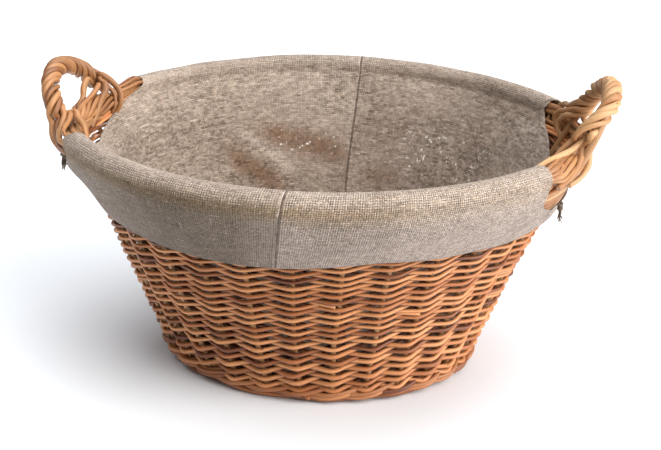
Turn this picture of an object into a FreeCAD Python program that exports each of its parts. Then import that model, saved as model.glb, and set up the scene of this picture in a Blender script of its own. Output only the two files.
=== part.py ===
import FreeCAD, Part

import math
import os

V = FreeCAD.Vector
os.makedirs("parts", exist_ok=True)

# An oval willow laundry basket with a hessian liner.
# Millimetres. Origin: centre of the footprint, on the floor. +Z up, +X towards
# the right-hand handle, -Y is the front. Every oval is an ellipse with its long
# axis on X.

# ---- wicker shell: outer half-lengths (X) and half-widths (Y) by height ----
WALL = [          # z, half-length, half-width of the outer face
    (0.0, 152.0, 123.5),
    (190.0, 227.5, 189.2),
    (222.0, 246.3, 204.3),
]
WALL_T = 10.0     # stake plus a weaver each side
FOOT_H = 16.0     # three-rod wale that carries the basket
TOP_WALE_Z0 = 212.0
TOP_WALE_Z1 = 222.0
N_STAKES = 30
STAKE_R = 2.4
STAKE_TOP = 225.0

# ---- base ----
BASE_Z0, BASE_Z1 = 5.0, 14.6
LONG_STICK_R = 3.0
CROSS_STICK_R = 4.0
LONG_STICK_Y = [-36.0, -18.0, 0.0, 18.0, 36.0]
CROSS_STICK_X = [-96.0, -64.0, -32.0, 0.0, 32.0, 64.0, 96.0]
STICK_Z = 9.5

# ---- rolled border ----
BORDER_A, BORDER_B, BORDER_Z = 249.0, 207.0, 229.5
BORDER_R = 9.5

# ---- handles: a bow with a rope of rods round it, leaning outward ----
REACH = 275.0     # furthest point of each handle from the centre plane
ROPE_R = 9.5
BOW_R = 4.0
BOW_HALF = 58.0   # half the distance between a handle's legs
LEG_Z = 178.0     # height of the lower end of a bow's legs, inside the wall
HANDLES = {       # name: (side, height above the border's centre, lean in degrees)
    "left": (-1, 54.0, 33.0),
    "right": (1, 62.0, 27.0),
}
ROD_R = 2.8       # roping rods where they turn over the border
ROD_Y = [44.5, 71.5]

# ---- liner ----
CLOTH_T = 1.2
CLOTH_GAP = 0.8
TURN_R = 10.3     # inner radius where the cloth turns over the border
HEM_Z = 163.0
NOTCH_HALF, NOTCH_Z, NOTCH_DEPTH = 92.0, 240.0, 34.0
BAND_TOP = 187.0  # the cuff below each handle is cut down to this height
LINER_Z0 = 16.6


def half(z, off=0.0):
    """Half-length and half-width of the wall's outer face at height z, moved out by off."""
    for (z0, a0, b0), (z1, a1, b1) in zip(WALL, WALL[1:]):
        if z <= z1 or z1 == WALL[-1][0]:
            t = (z - z0) / (z1 - z0)
            return a0 + (a1 - a0) * t + off, b0 + (b1 - b0) * t + off


def oval(a, b, z):
    return Part.Ellipse(V(0, 0, z), a, b).toShape()


def loft(levels):
    """A solid through ovals stacked in height: levels are (a, b, z)."""
    parts = []
    for lo, hi in zip(levels, levels[1:]):
        w = [Part.Wire([oval(*lo)]), Part.Wire([oval(*hi)])]
        parts.append(Part.makeLoft(w, True, True))
    s = parts[0]
    for p in parts[1:]:
        s = s.fuse(p)
    return s.removeSplitter() if len(parts) > 1 else s


def ring(z0, z1, off_out, off_in):
    """The wall between two heights, from off_in to off_out measured from its outer face."""
    zs = [z0] + [z for z, _, _ in WALL if z0 < z < z1] + [z1]
    outer = loft([(*half(z, off_out), z) for z in zs])
    e = 0.02
    zi = [z0 - e] + zs[1:-1] + [z1 + e]
    inner = loft([(*half(z, off_in), z) for z in zi])
    return outer.cut(inner)


def around(profile):
    """A closed solid of oval section rings: profile is a closed list of (a, b, z)."""
    edges = [oval(*p) for p in profile]
    faces = []
    for i, e in enumerate(edges):
        faces.append(Part.makeRuledSurface(e, edges[(i + 1) % len(edges)]))
    sh = Part.makeShell(faces)
    sh.sewShape()
    s = Part.makeSolid(Part.Shell(sh.Faces))
    if s.Volume < 0:
        s.reverse()
    return s


def rod(p, q, r):
    d = q.sub(p)
    return Part.makeCylinder(r, d.Length, p, d)


def pipe(path_edges, r, start, direction):
    wire = Part.Wire(path_edges)
    prof = Part.Wire([Part.Circle(start, direction, r).toShape()])
    return wire.makePipeShell([prof], True, False)


def save(name, shape):
    shape = Part.makeCompound(shape) if isinstance(shape, list) else shape
    for s in shape.Solids:
        assert s.isValid(), name
    assert shape.Solids, name
    bb = shape.BoundBox
    print(
        f"{name:24s} solids {len(shape.Solids):3d} volume {shape.Volume/1000:9.1f} cm3  "
        f"x {bb.XMin:7.1f} {bb.XMax:7.1f}  y {bb.YMin:7.1f} {bb.YMax:7.1f}  z {bb.ZMin:6.1f} {bb.ZMax:6.1f}"
    )
    if len(shape.Solids) == 1:
        shape = shape.Solids[0]
    shape.exportStep(f"parts/{name}.step")
    return shape


# ---- base: long sticks threaded through cross sticks, with the weave round them ----
a_in, b_in = half(STICK_Z, -WALL_T - 1.0)
long_sticks = []
for y in LONG_STICK_Y:
    x = a_in * math.sqrt(1 - (y / b_in) ** 2) - 2.0
    long_sticks.append(rod(V(-x, y, STICK_Z), V(x, y, STICK_Z), LONG_STICK_R))
cross_sticks = []
for x in CROSS_STICK_X:
    y = b_in * math.sqrt(1 - (x / a_in) ** 2) - 2.0
    s = rod(V(x, -y, STICK_Z), V(x, y, STICK_Z), CROSS_STICK_R)
    for k in long_sticks:      # each cross stick is split for the long sticks
        s = s.cut(k)
    cross_sticks.append(s)
save("base_long_sticks", long_sticks)
save("base_cross_sticks", cross_sticks)
save("base_weave", loft([(*half(z, -WALL_T - 1.0), z) for z in (BASE_Z0, BASE_Z1)]))

# ---- side ----
save("foot_wale", ring(0.0, FOOT_H, 1.0, -WALL_T - 1.0))
stakes = []
for k in range(N_STAKES):
    t = math.radians(-87.6 + 360.0 / N_STAKES * k)
    mid = -WALL_T / 2
    pts = []
    for z in (8.0, 190.0, STAKE_TOP):
        a, b = half(z, mid)
        pts.append(V(a * math.cos(t), b * math.sin(t), z))
    s = rod(pts[0], pts[1], STAKE_R)
    s = s.fuse(rod(pts[1], pts[2], STAKE_R))
    s = s.fuse(Part.makeSphere(STAKE_R, pts[1]))
    stakes.append(s)
save("side_stakes", stakes)
save("side_weave", ring(FOOT_H, TOP_WALE_Z0, 0.0, -WALL_T))
save("top_wale", ring(TOP_WALE_Z0, TOP_WALE_Z1, 1.5, -WALL_T))
border = pipe(
    [oval(BORDER_A, BORDER_B, BORDER_Z)],
    BORDER_R,
    V(BORDER_A, 0, BORDER_Z),
    V(0, 1, 0),
)
save("border", border)

# ---- handles ----
for name, (side, rise, lean) in HANDLES.items():
    c, s = math.cos(math.radians(lean)), math.sin(math.radians(lean))
    x0 = REACH - ROPE_R - rise * s

    def at(y, v):
        """A point of the handle's leaning plane: y across, v up it from the border."""
        return V(side * (x0 + v * s), y, BORDER_Z + v * c)

    up = V(side * s, 0, c)

    def arch():
        """The bow's top: half an ellipse in the leaning plane, from leg to leg."""
        n = V(0, 1, 0).cross(up)
        if rise >= BOW_HALF:
            e = Part.Ellipse(at(0, rise), at(BOW_HALF, 0), at(0, 0))
        else:
            e = Part.Ellipse(at(BOW_HALF, 0), at(0, rise), at(0, 0))
        best = None
        full = e.toShape()
        f, l = full.FirstParameter, full.LastParameter
        # the half that lies above the border, found by its middle point
        for k in range(4):
            t0 = f + (l - f) * k / 4
            t1 = t0 + (l - f) / 2
            half_arc = Part.Edge(e, t0, t1)
            m = half_arc.valueAt((half_arc.FirstParameter + half_arc.LastParameter) / 2)
            if m.sub(at(0, rise)).Length < 0.01:
                best = half_arc
        return best

    top = arch()
    ends = sorted([v.Point for v in top.Vertexes], key=lambda p: p.y)
    # below the border each leg runs down the middle of the wall, beside a stake
    bow = pipe([top], BOW_R, ends[0], up)
    for e in ends:
        a, b = half(LEG_Z, -WALL_T / 2)
        foot = V(side * a * math.sqrt(1 - (e.y / b) ** 2), e.y, LEG_Z)
        past = e.add(e.sub(foot).normalize().multiply(2.0))
        bow = bow.fuse(rod(foot, past, BOW_R - 0.2))
    bow = save(f"handle_{name}_bow", bow)
    v0 = 1.0
    rope_path = [
        Part.makeLine(at(-BOW_HALF, -v0), ends[0]),
        top,
        Part.makeLine(ends[1], at(BOW_HALF, -v0)),
    ]
    rope = pipe(rope_path, ROPE_R, at(-BOW_HALF, -v0), up)
    wrap = rope.cut(bow).cut(border)
    wrap = max(wrap.Solids, key=lambda q: q.Volume)
    save(f"handle_{name}_rope", wrap)
    hooks = []
    for y in [-p for p in reversed(ROD_Y)] + ROD_Y:
        xb = BORDER_A * math.sqrt(1 - (y / BORDER_B) ** 2)
        r = BORDER_R + ROD_R + 0.2

        def p(deg):
            t = math.radians(deg)
            return V(side * (xb + r * math.cos(t)), y, BORDER_Z + r * math.sin(t))

        arc = Part.Arc(p(-20), p(90), p(198)).toShape()
        t = math.radians(-20)
        tangent = V(side * -math.sin(t), 0, math.cos(t))
        hooks.append(pipe([arc], ROD_R, p(-20), tangent))
    save(f"handle_{name}_rod_ends", hooks)

# ---- liner: two half panels that line the wall, turn over the border and hang down as a cuff ----
turn = [(math.cos(math.radians(d)), math.sin(math.radians(d))) for d in range(195, -31, -15)]
wall_z = [LINER_Z0, 190.0, 222.0]
hem_a, hem_b = half(HEM_Z, CLOTH_GAP)
outside = [(*half(z, -WALL_T - CLOTH_GAP), z) for z in wall_z]
outside += [(BORDER_A + TURN_R * c, BORDER_B + TURN_R * c, BORDER_Z + TURN_R * s) for c, s in turn]
outside.append((hem_a, hem_b, HEM_Z))
R2 = TURN_R + CLOTH_T
inside = [(*half(z, -WALL_T - CLOTH_GAP - CLOTH_T), z) for z in wall_z]
inside += [(BORDER_A + R2 * c, BORDER_B + R2 * c, BORDER_Z + R2 * s) for c, s in turn]
inside.append((hem_a + CLOTH_T, hem_b + CLOTH_T, HEM_Z))
liner = around(outside + inside[::-1])

# a U-shaped opening for each handle, through the lining wall and the cuff
u = Part.Ellipse(V(0, 0, NOTCH_Z), NOTCH_HALF, NOTCH_DEPTH)
lower = Part.Edge(u, math.pi, 2 * math.pi)
prof = Part.Wire([lower, Part.makeLine(lower.Vertexes[-1].Point, lower.Vertexes[0].Point)])
prof.rotate(V(0, 0, NOTCH_Z), V(1, 0, 0), 90)
prof.rotate(V(0, 0, NOTCH_Z), V(0, 0, 1), 90)
u_low = Part.Face(prof).extrude(V(400, 0, 0))
u_top = Part.makeBox(400, 2 * NOTCH_HALF, 40, V(0, -NOTCH_HALF, NOTCH_Z))
# outside the border the opening runs further down, to the band below the handle
deep = Part.Wire(
    [
        Part.makeLine(V(0, -NOTCH_HALF, NOTCH_Z), V(0, NOTCH_HALF, NOTCH_Z)),
        Part.makeLine(V(0, NOTCH_HALF, NOTCH_Z), V(0, NOTCH_HALF - 14, BAND_TOP + 18)),
        Part.makeLine(V(0, NOTCH_HALF - 14, BAND_TOP + 18), V(0, NOTCH_HALF - 34, BAND_TOP)),
        Part.makeLine(V(0, NOTCH_HALF - 34, BAND_TOP), V(0, -NOTCH_HALF + 34, BAND_TOP)),
        Part.makeLine(V(0, -NOTCH_HALF + 34, BAND_TOP), V(0, -NOTCH_HALF + 14, BAND_TOP + 18)),
        Part.makeLine(V(0, -NOTCH_HALF + 14, BAND_TOP + 18), V(0, -NOTCH_HALF, NOTCH_Z)),
    ]
)
deep = Part.Face(deep).extrude(V(400, 0, 0))
inner_core = loft([(*half(z, -WALL_T / 2), z) for z in (150.0, 190.0, 222.0)] + [(BORDER_A, BORDER_B, 246.0)])
deep = deep.cut(inner_core)
for side in (1, -1):
    for cutter in (u_low, u_top, deep):
        k = cutter.copy()
        if side < 0:
            k = k.mirror(V(0, 0, 0), V(1, 0, 0))
        liner = liner.cut(k)
for name, side in (("left", -1), ("right", 1)):
    box = Part.makeBox(400, 600, 400, V(0 if side > 0 else -400, -300, -50))
    save(f"lining_panel_{name}", liner.common(box))
    kz = 188.0
    a, b = half(kz, 12.0)
    ky = -35.0
    kx = a * math.sqrt(1 - (ky / b) ** 2)
    knot = Part.makeSphere(6.0, V(side * kx, ky, kz))
    for dy, dx in ((-4.0, -2.0), (3.0, 1.0)):
        d = V(side * dx, dy, -17.0)
        knot = knot.fuse(Part.makeCone(2.6, 1.2, d.Length, V(side * kx, ky + dy / 3, kz - 3), d))
    save(f"tie_{name}", knot)
a, b = half(LINER_Z0, -WALL_T - 1.0 - CLOTH_GAP)   # clear of the foot wale's inner face
save("lining_base", loft([(a, b, LINER_Z0 - CLOTH_T), (a, b, LINER_Z0)]))
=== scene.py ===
import itertools
import math

import bpy
import numpy as np
from mathutils import Matrix, Vector


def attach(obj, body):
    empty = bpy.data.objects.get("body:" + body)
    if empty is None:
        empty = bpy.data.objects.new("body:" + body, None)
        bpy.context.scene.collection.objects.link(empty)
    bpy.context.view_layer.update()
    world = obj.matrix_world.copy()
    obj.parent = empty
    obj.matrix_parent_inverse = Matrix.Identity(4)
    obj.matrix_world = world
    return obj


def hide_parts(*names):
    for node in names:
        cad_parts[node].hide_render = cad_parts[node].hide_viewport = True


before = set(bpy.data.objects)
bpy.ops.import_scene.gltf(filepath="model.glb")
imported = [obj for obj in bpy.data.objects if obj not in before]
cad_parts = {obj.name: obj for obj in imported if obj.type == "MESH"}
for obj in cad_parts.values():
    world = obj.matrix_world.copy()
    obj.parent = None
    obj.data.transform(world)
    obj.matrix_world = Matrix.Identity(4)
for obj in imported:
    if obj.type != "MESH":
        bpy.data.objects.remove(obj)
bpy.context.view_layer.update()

# Oval willow laundry basket with a hessian liner. Lengths below are millimetres
# until a mesh is made, when they become metres.

MM = 0.001
pi = math.pi
scene = bpy.context.scene
scene.view_settings.view_transform = "Standard"
scene.view_settings.look = "None"

# ------------------------------------------------------------------ camera
AZ, EL, DIST, ROLL = (math.radians(10.927), math.radians(22.059), 1382.6, math.radians(0.713))
back = np.array([math.sin(AZ) * math.cos(EL), -math.cos(AZ) * math.cos(EL), math.sin(EL)])
right = np.array([math.cos(AZ), math.sin(AZ), 0.0])
up = np.cross(back, right)
cx = right * math.cos(ROLL) + up * math.sin(ROLL)
cy = -right * math.sin(ROLL) + up * math.cos(ROLL)
loc = (np.array([0, 0, 128.58]) + DIST * back) * MM
cam_data = bpy.data.cameras.new("camera")
cam_data.lens = 76.66
cam_data.sensor_width = 36.0
cam_data.shift_x = 0.0107
cam_data.clip_start, cam_data.clip_end = 0.05, 300.0
cam = bpy.data.objects.new("camera", cam_data)
scene.collection.objects.link(cam)
cam.matrix_world = Matrix(
    [[cx[i], cy[i], back[i], loc[i]] for i in range(3)] + [[0, 0, 0, 1]]
)
scene.camera = cam


# ------------------------------------------------------------------ small helpers
def smooth(x):
    x = np.clip(x, 0.0, 1.0)
    return x * x * (3 - 2 * x)


def bump01(x, lo, hi):
    """1 inside lo..hi, 0 outside, with soft shoulders a quarter of the width long."""
    w = (hi - lo) * 0.25
    return smooth((x - lo) / w) * smooth((hi - x) / w)


def wobble(rng, n, period, x):
    """A smooth closed wobble of unit size: n harmonics of the given period."""
    out = 0.0
    tot = 0.0
    for k in range(1, n + 1):
        a = rng.uniform(0.4, 1.0) / k**0.5
        out = out + a * np.sin(2 * pi * k * x / period + rng.uniform(0, 2 * pi))
        tot += a * a / 2
    return out / math.sqrt(tot)


def catmull(points, step=1.5):
    """A smooth line through the given points, sampled about every step mm."""
    p = np.asarray(points, float)
    p = np.vstack([2 * p[0] - p[1], p, 2 * p[-1] - p[-2]])
    out = []
    for i in range(1, len(p) - 2):
        a, b, c, d = p[i - 1], p[i], p[i + 1], p[i + 2]
        n = max(2, int(np.linalg.norm(c - b) / step))
        # centripetal knots keep the line from looping between uneven points
        t0 = 0.0
        t1 = t0 + max(np.linalg.norm(b - a), 1e-6) ** 0.5
        t2 = t1 + max(np.linalg.norm(c - b), 1e-6) ** 0.5
        t3 = t2 + max(np.linalg.norm(d - c), 1e-6) ** 0.5
        t = np.linspace(t1, t2, n, endpoint=False)[:, None]
        a1 = (t1 - t) / (t1 - t0) * a + (t - t0) / (t1 - t0) * b
        a2 = (t2 - t) / (t2 - t1) * b + (t - t1) / (t2 - t1) * c
        a3 = (t3 - t) / (t3 - t2) * c + (t - t2) / (t3 - t2) * d
        b1 = (t2 - t) / (t2 - t0) * a1 + (t - t0) / (t2 - t0) * a2
        b2 = (t3 - t) / (t3 - t1) * a2 + (t - t1) / (t3 - t1) * a3
        out.append((t2 - t) / (t2 - t1) * b1 + (t - t1) / (t2 - t1) * b2)
    out.append(p[-2][None])
    return np.vstack(out)


def make_mesh(name, verts, faces, mat, attrs=None, smooth_faces=True):
    """A mesh object from arrays in mm; faces is a list of arrays, each with rows of one length."""
    me = bpy.data.meshes.new(name)
    v = (np.asarray(verts, float) * MM).astype(np.float32)
    me.vertices.add(len(v))
    me.vertices.foreach_set("co", v.ravel())
    faces = [np.asarray(f, np.int32) for f in faces if len(f)]
    loops = np.concatenate([f.ravel() for f in faces])
    sizes = np.concatenate([np.full(len(f), f.shape[1], np.int32) for f in faces])
    starts = np.concatenate([[0], np.cumsum(sizes)[:-1]]).astype(np.int32)
    me.loops.add(len(loops))
    me.loops.foreach_set("vertex_index", loops)
    me.polygons.add(len(sizes))
    me.polygons.foreach_set("loop_start", starts)
    me.polygons.foreach_set("loop_total", sizes)
    me.update(calc_edges=True)
    me.polygons.foreach_set("use_smooth", np.full(len(sizes), smooth_faces))
    for key, val in (attrs or {}).items():
        at = me.attributes.new(key, "FLOAT_VECTOR", "POINT")
        at.data.foreach_set("vector", np.asarray(val, np.float32).ravel())
    me.validate()
    me.materials.append(mat)
    ob = bpy.data.objects.new(name, me)
    scene.collection.objects.link(ob)
    return ob


class Rods:
    """Collects round rods, and makes one mesh of them."""

    def __init__(self, seed):
        self.rng = np.random.default_rng(seed)
        self.v, self.q, self.t, self.co, self.rn = [], [], [], [], []
        self.n = 0

    def add(self, pts, rad, sides=10, tint=None, rough=0.0, deep=None):
        p = np.asarray(pts, float)
        n = len(p)
        rad = np.broadcast_to(np.asarray(rad, float), (n,)).copy()
        t = np.gradient(p, axis=0)
        t /= np.linalg.norm(t, axis=1)[:, None]
        s = np.concatenate([[0], np.cumsum(np.linalg.norm(np.diff(p, axis=0), axis=1))])
        if rough:
            rad *= 1 + rough * wobble(self.rng, 5, 97.0, s)
        a = np.array([0.0, 0.0, 1.0]) if abs(t[0][2]) < 0.9 else np.array([1.0, 0, 0])
        nn = np.zeros_like(p)
        cur = a
        for i in range(n):
            cur = cur - (cur @ t[i]) * t[i]
            cur = cur / math.sqrt(cur @ cur)
            nn[i] = cur
        bb = np.cross(t, nn)
        ang = np.arange(sides) * 2 * pi / sides
        ca, sa = np.cos(ang), np.sin(ang)
        # each end has a worn edge: one more ring, smaller, just outside it
        pe = np.vstack([p[:1] - t[:1] * rad[0] * 0.22, p, p[-1:] + t[-1:] * rad[-1] * 0.22])
        ne = np.vstack([nn[:1], nn, nn[-1:]])
        be = np.vstack([bb[:1], bb, bb[-1:]])
        re = np.concatenate([[rad[0] * 0.72], rad, [rad[-1] * 0.72]])
        se = np.concatenate([[s[0]], s, [s[-1]]])
        m = n + 2
        ring = pe[:, None] + re[:, None, None] * (
            ca[None, :, None] * ne[:, None] + sa[None, :, None] * be[:, None]
        )
        verts = ring.reshape(-1, 3)
        i, j = np.meshgrid(np.arange(m - 1), np.arange(sides), indexing="ij")
        j2 = (j + 1) % sides
        quads = np.stack([i * sides + j, i * sides + j2, (i + 1) * sides + j2, (i + 1) * sides + j], -1)
        base = self.n
        self.q.append(quads.reshape(-1, 4) + base)
        c0, c1 = m * sides, m * sides + 1
        verts = np.vstack([verts, pe[:1], pe[-1:]])
        k = np.arange(sides)
        k2 = (k + 1) % sides
        self.t.append(np.stack([np.full(sides, c0), k2, k], -1) + base)
        e = (m - 1) * sides
        self.t.append(np.stack([np.full(sides, c1), e + k, e + k2], -1) + base)
        off = self.rng.uniform(0, 40)
        co = np.stack(
            [
                np.repeat(se * MM + off, sides),
                np.tile(ca, m) * np.repeat(re, sides) * MM,
                np.tile(sa, m) * np.repeat(re, sides) * MM,
            ],
            -1,
        )
        co = np.vstack([co, [[se[0] * MM + off, 0, 0], [se[-1] * MM + off, 0, 0]]])
        r = np.array([self.rng.uniform(), self.rng.uniform(), self.rng.uniform()])
        if tint is not None:
            r[0] = tint
        rn = np.tile(r, (len(verts), 1))
        # the second number: how far the rod lies back in the weave, from which the material paints shade
        rn[:, 1] = 0.0
        if deep is not None:
            rn[: m * sides, 1] = np.repeat(np.concatenate([deep[:1], deep, deep[-1:]]), sides)
        # the third number marks the cut ends
        rn[:, 2] = 0.0
        rn[-2:, 2] = 1.0
        rn[:sides, 2] = 0.7
        rn[(m - 1) * sides : m * sides, 2] = 0.7
        self.v.append(verts)
        self.co.append(co)
        self.rn.append(rn)
        self.n += len(verts)

    def make(self, name, mat, body, *nodes, slot=None):
        ob = make_mesh(
            name,
            np.vstack(self.v),
            [np.vstack(self.q), np.vstack(self.t)],
            mat,
            {"rod_co": np.vstack(self.co), "rod_rnd": np.vstack(self.rn)},
        )
        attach(ob, body)
        if nodes:
            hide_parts(*nodes)
        return ob


# ------------------------------------------------------------------ materials
class Tree:
    """Short calls for building a node tree."""

    def __init__(self, name):
        self.mat = bpy.data.materials.new(name)
        self.mat.use_nodes = True
        self.nt = self.mat.node_tree
        self.nt.nodes.clear()
        self.out = self.nt.nodes.new("ShaderNodeOutputMaterial")
        self.bsdf = self.nt.nodes.new("ShaderNodeBsdfPrincipled")
        self.nt.links.new(self.bsdf.outputs[0], self.out.inputs[0])

    def put(self, socket, value):
        if isinstance(value, bpy.types.NodeSocket):
            self.nt.links.new(value, socket)
        else:
            socket.default_value = value

    def math(self, op, a, b=None, c=None, clamp=False):
        n = self.nt.nodes.new("ShaderNodeMath")
        n.operation = op
        n.use_clamp = clamp
        for i, x in enumerate((a, b, c)):
            if x is not None:
                self.put(n.inputs[i], x)
        return n.outputs[0]

    def attr(self, name):
        n = self.nt.nodes.new("ShaderNodeAttribute")
        n.attribute_name = name
        return n.outputs["Vector"]

    def split(self, v):
        n = self.nt.nodes.new("ShaderNodeSeparateXYZ")
        self.put(n.inputs[0], v)
        return n.outputs[0], n.outputs[1], n.outputs[2]

    def join(self, x, y, z):
        n = self.nt.nodes.new("ShaderNodeCombineXYZ")
        for i, c in enumerate((x, y, z)):
            self.put(n.inputs[i], c)
        return n.outputs[0]

    def scale(self, v, k):
        n = self.nt.nodes.new("ShaderNodeVectorMath")
        n.operation = "MULTIPLY"
        self.put(n.inputs[0], v)
        n.inputs[1].default_value = k
        return n.outputs[0]

    def noise(self, v, scale=1.0, detail=2.0, rough=0.5, distort=0.0):
        n = self.nt.nodes.new("ShaderNodeTexNoise")
        self.put(n.inputs["Vector"], v)
        n.inputs["Scale"].default_value = scale
        n.inputs["Detail"].default_value = detail
        n.inputs["Roughness"].default_value = rough
        n.inputs["Distortion"].default_value = distort
        return n.outputs["Fac"]

    def white(self, v):
        n = self.nt.nodes.new("ShaderNodeTexWhiteNoise")
        n.noise_dimensions = "3D"
        self.put(n.inputs["Vector"], v)
        return n.outputs["Value"]

    def ramp(self, fac, stops, interp="LINEAR"):
        n = self.nt.nodes.new("ShaderNodeValToRGB")
        n.color_ramp.interpolation = interp
        e = n.color_ramp.elements
        while len(e) > 1:
            e.remove(e[-1])
        e[0].position, e[0].color = stops[0][0], (*stops[0][1], 1)
        for pos, col in stops[1:]:
            x = e.new(pos)
            x.color = (*col, 1)
        self.put(n.inputs[0], fac)
        return n.outputs[0]

    def map(self, x, a, b, c, d):
        n = self.nt.nodes.new("ShaderNodeMapRange")
        self.put(n.inputs[0], x)
        for i, k in enumerate((a, b, c, d)):
            n.inputs[i + 1].default_value = k
        return n.outputs[0]

    def mix(self, fac, a, b, mode="MIX"):
        n = self.nt.nodes.new("ShaderNodeMix")
        n.data_type = "RGBA"
        n.blend_type = mode
        self.put(n.inputs[0], fac)
        for i, x in ((6, a), (7, b)):
            if isinstance(x, tuple):
                n.inputs[i].default_value = (*x, 1)
            else:
                self.put(n.inputs[i], x)
        return n.outputs[2]

    def bump(self, height, strength, distance):
        n = self.nt.nodes.new("ShaderNodeBump")
        n.inputs["Strength"].default_value = strength
        n.inputs["Distance"].default_value = distance
        self.put(n.inputs["Height"], height)
        self.put(self.bsdf.inputs["Normal"], n.outputs[0])


def willow(name, light, mid, dark, rough=0.5, under=0.0):
    """Buff willow: each rod has its own shade, with streaks along it and darker patches."""
    t = Tree(name)
    co = t.attr("rod_co")
    r1, r2, end = t.split(t.attr("rod_rnd"))
    streak = t.noise(t.scale(co, (28, 1100, 1100)), 1.0, 3.0, 0.6)
    blotch = t.noise(t.scale(co, (14, 160, 160)), 1.0, 2.0, 0.55)
    spot = t.noise(t.scale(co, (240, 420, 420)), 1.0, 1.0, 0.5)
    f = t.math("MULTIPLY_ADD", r1, 0.70, -0.07)
    f = t.math("MULTIPLY_ADD", blotch, 0.75, f)
    f = t.math("MULTIPLY_ADD", streak, 0.35, f)
    f = t.map(f, 0.42, 1.18, 0.0, 1.0)
    col = t.ramp(f, [(0.0, dark), (0.45, mid), (1.0, light)])
    # small brown flecks where buds were
    fleck = t.map(spot, 0.70, 0.78, 0.0, 0.75)
    col = t.mix(fleck, col, (dark[0] * 0.45, dark[1] * 0.4, dark[2] * 0.35))
    # painted-in shade where a rod lies back behind a stake: chosen for the look of the gaps, not a known colour
    col = t.mix(t.math("MULTIPLY", r2, 0.85), col, (dark[0] * 0.30, dark[1] * 0.26, dark[2] * 0.24))
    if under:
        # painted-in shade on the lower side of a rod, chosen for the look of the gaps
        ux, uy, uz = t.split(co)
        low = t.math("MULTIPLY", t.map(uy, -0.0013, 0.0003, under, 0.0), t.map(blotch, 0.3, 0.7, 1.0, 0.7))
        col = t.mix(low, col, (dark[0] * 0.30, dark[1] * 0.26, dark[2] * 0.24))
    # pale pith where a rod is cut
    col = t.mix(t.map(end, 0.6, 1.0, 0.0, 0.75), col, (0.80, 0.62, 0.44))
    t.put(t.bsdf.inputs["Base Color"], col)
    t.put(t.bsdf.inputs["Roughness"], t.map(streak, 0.3, 0.7, rough - 0.08, rough + 0.1))
    t.bsdf.inputs["Specular IOR Level"].default_value = 0.5
    t.bsdf.inputs["Coat Weight"].default_value = 0.12
    t.bsdf.inputs["Coat Roughness"].default_value = 0.35
    t.bump(streak, 0.35, 0.0004)
    return t.mat


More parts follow.
